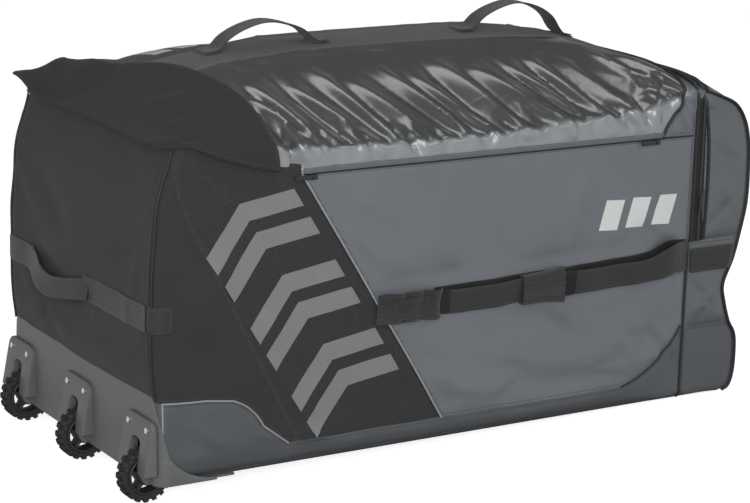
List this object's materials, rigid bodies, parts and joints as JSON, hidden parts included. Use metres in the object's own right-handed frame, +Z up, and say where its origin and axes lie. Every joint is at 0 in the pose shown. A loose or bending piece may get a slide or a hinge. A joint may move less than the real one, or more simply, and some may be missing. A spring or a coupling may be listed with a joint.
{
  "type": "hockey equipment bag",
  "caption": "Large soft-sided ice hockey goalie bag with a moulded wheel chassis at one end, a hinged lid, an end pocket and webbing handles.",
  "frame": {"origin": "middle of the footprint, on the floor", "axes": "+X along the bag from the wheels to the end pocket, -Y the front face, +Z up"},
  "size_m": [1.083, 0.53, 0.6287],
  "materials": {
    "chassis": "satin",
    "rivet": "satin",
    "steel": "satin",
    "tyre": "matte",
    "hub": "satin",
    "base_cloth": "matte",
    "board": "matte",
    "matte_cloth": "matte",
    "mesh_cloth": "matte",
    "coated_cloth": "satin",
    "zip_tape": "matte",
    "webbing": "matte",
    "piping": "matte",
    "dark_piping": "satin",
    "slider": "satin"
  },
  "bodies": {
    "bag": {"wheel_chassis": "chassis", "wheel_housing_front": "chassis", "wheel_housing_middle": "chassis", "wheel_housing_back": "chassis", "housing_rivets": "rivet", "wheel_axle_front": "steel", "wheel_axle_middle": "steel", "wheel_axle_back": "steel", "bottom_panel": "base_cloth", "bottom_board": "board", "front_plain_panel": "matte_cloth", "back_plain_panel": "matte_cloth", "front_mesh_band": "mesh_cloth", "back_mesh_band": "mesh_cloth", "front_coated_panel": "coated_cloth", "back_coated_panel": "coated_cloth", "front_lower_guard": "coated_cloth", "back_lower_guard": "coated_cloth", "wheel_end_panel": "matte_cloth", "heel_panel": "coated_cloth", "pocket_floor": "matte_cloth", "divider_wall": "matte_cloth", "front_pocket_side": "coated_cloth", "back_pocket_side": "coated_cloth", "pocket_end_face": "coated_cloth", "pocket_zip_frame": "zip_tape", "shoulder_arch": "coated_cloth", "front_haul_strap": "webbing", "back_haul_strap": "webbing", "front_grip_sleeve": "webbing", "back_grip_sleeve": "webbing", "wheel_end_strap": "webbing", "pocket_strap": "webbing", "pull_handle_tabs": "webbing", "lid_zip_tape": "zip_tape"},
    "lid": {"lid_end_flap": "matte_cloth", "lid_mesh_band": "mesh_cloth", "lid_centre_panel": "matte_cloth", "lid_front_quarter": "coated_cloth", "lid_back_quarter": "coated_cloth", "lid_piping": "piping", "handle_feet": "webbing"},
    "wheel_front": {"tyre_front": "tyre", "wheel_hub_front": "hub", "wheel_bearings_front": "steel"},
    "wheel_middle": {"tyre_middle": "tyre", "wheel_hub_middle": "hub", "wheel_bearings_middle": "steel"},
    "wheel_back": {"tyre_back": "tyre", "wheel_hub_back": "hub", "wheel_bearings_back": "steel"},
    "left_handle": {"top_handle_left": "webbing"},
    "right_handle": {"top_handle_right": "webbing"},
    "end_handle": {"wheel_end_handle": "webbing"},
    "pull": {"pull_handle": "webbing"},
    "pocket": {"pocket_cover": "coated_cloth", "pocket_piping": "dark_piping"},
    "pocket_slider": {"pocket_zip_slider": "slider"},
    "lid_slider_left": {"lid_zip_slider_left": "slider"},
    "lid_slider_right": {"lid_zip_slider_right": "slider"}
  },
  "joints": [
    {"name": "wheel_front_spin", "type": "hinge", "parent": "bag", "child": "wheel_front", "pos_m": [-0.50158, -0.207, 0.04006], "axis": [0, 1, 0], "continuous": true},
    {"name": "wheel_middle_spin", "type": "hinge", "parent": "bag", "child": "wheel_middle", "pos_m": [-0.50158, 0, 0.04006], "axis": [0, 1, 0], "continuous": true},
    {"name": "wheel_back_spin", "type": "hinge", "parent": "bag", "child": "wheel_back", "pos_m": [-0.50158, 0.207, 0.04006], "axis": [0, 1, 0], "continuous": true},
    {"name": "lid_hinge", "type": "hinge", "parent": "bag", "child": "lid", "pos_m": [0.01763, 0.25, 0.44154], "axis": [-0.9995, 0, 0.0322], "range_deg": [0, 120]},
    {"name": "pocket_fold", "type": "hinge", "parent": "bag", "child": "pocket", "pos_m": [0.52192, 0, 0.25619], "axis": [0, 1, 0], "range_deg": [0, 90]},
    {"name": "left_handle_swing", "type": "hinge", "parent": "lid", "child": "left_handle", "pos_m": [-0.20222, -0.022, 0.60488], "axis": [0.9993, 0, 0.0374], "range_deg": [-60, 60], "stiffness_Nm_per_rad": 0.02},
    {"name": "right_handle_swing", "type": "hinge", "parent": "lid", "child": "right_handle", "pos_m": [0.24062, -0.022, 0.59283], "axis": [0.9917, 0, -0.1285], "range_deg": [-60, 60], "stiffness_Nm_per_rad": 0.02},
    {"name": "end_handle_lift", "type": "hinge", "parent": "bag", "child": "end_handle", "pos_m": [-0.50033, 0.052, 0.26514], "axis": [0, 1, 0], "range_deg": [0, 35]},
    {"name": "pull_handle_lift", "type": "hinge", "parent": "bag", "child": "pull", "pos_m": [0.51692, 0, 0.22533], "axis": [0, -1, 0], "range_deg": [0, 30]},
    {"name": "lid_zip_left", "type": "slide", "parent": "bag", "child": "lid_slider_left", "axis": [0.9995, 0, -0.0322], "range_m": [0, 0.3]},
    {"name": "lid_zip_right", "type": "slide", "parent": "bag", "child": "lid_slider_right", "axis": [-0.9995, 0, 0.0322], "range_m": [0, 0.29]},
    {"name": "pocket_zip", "type": "slide", "parent": "bag", "child": "pocket_slider", "axis": [0.0322, 0, 0.9995], "range_m": [-0.035, 0.1]}
  ]
}
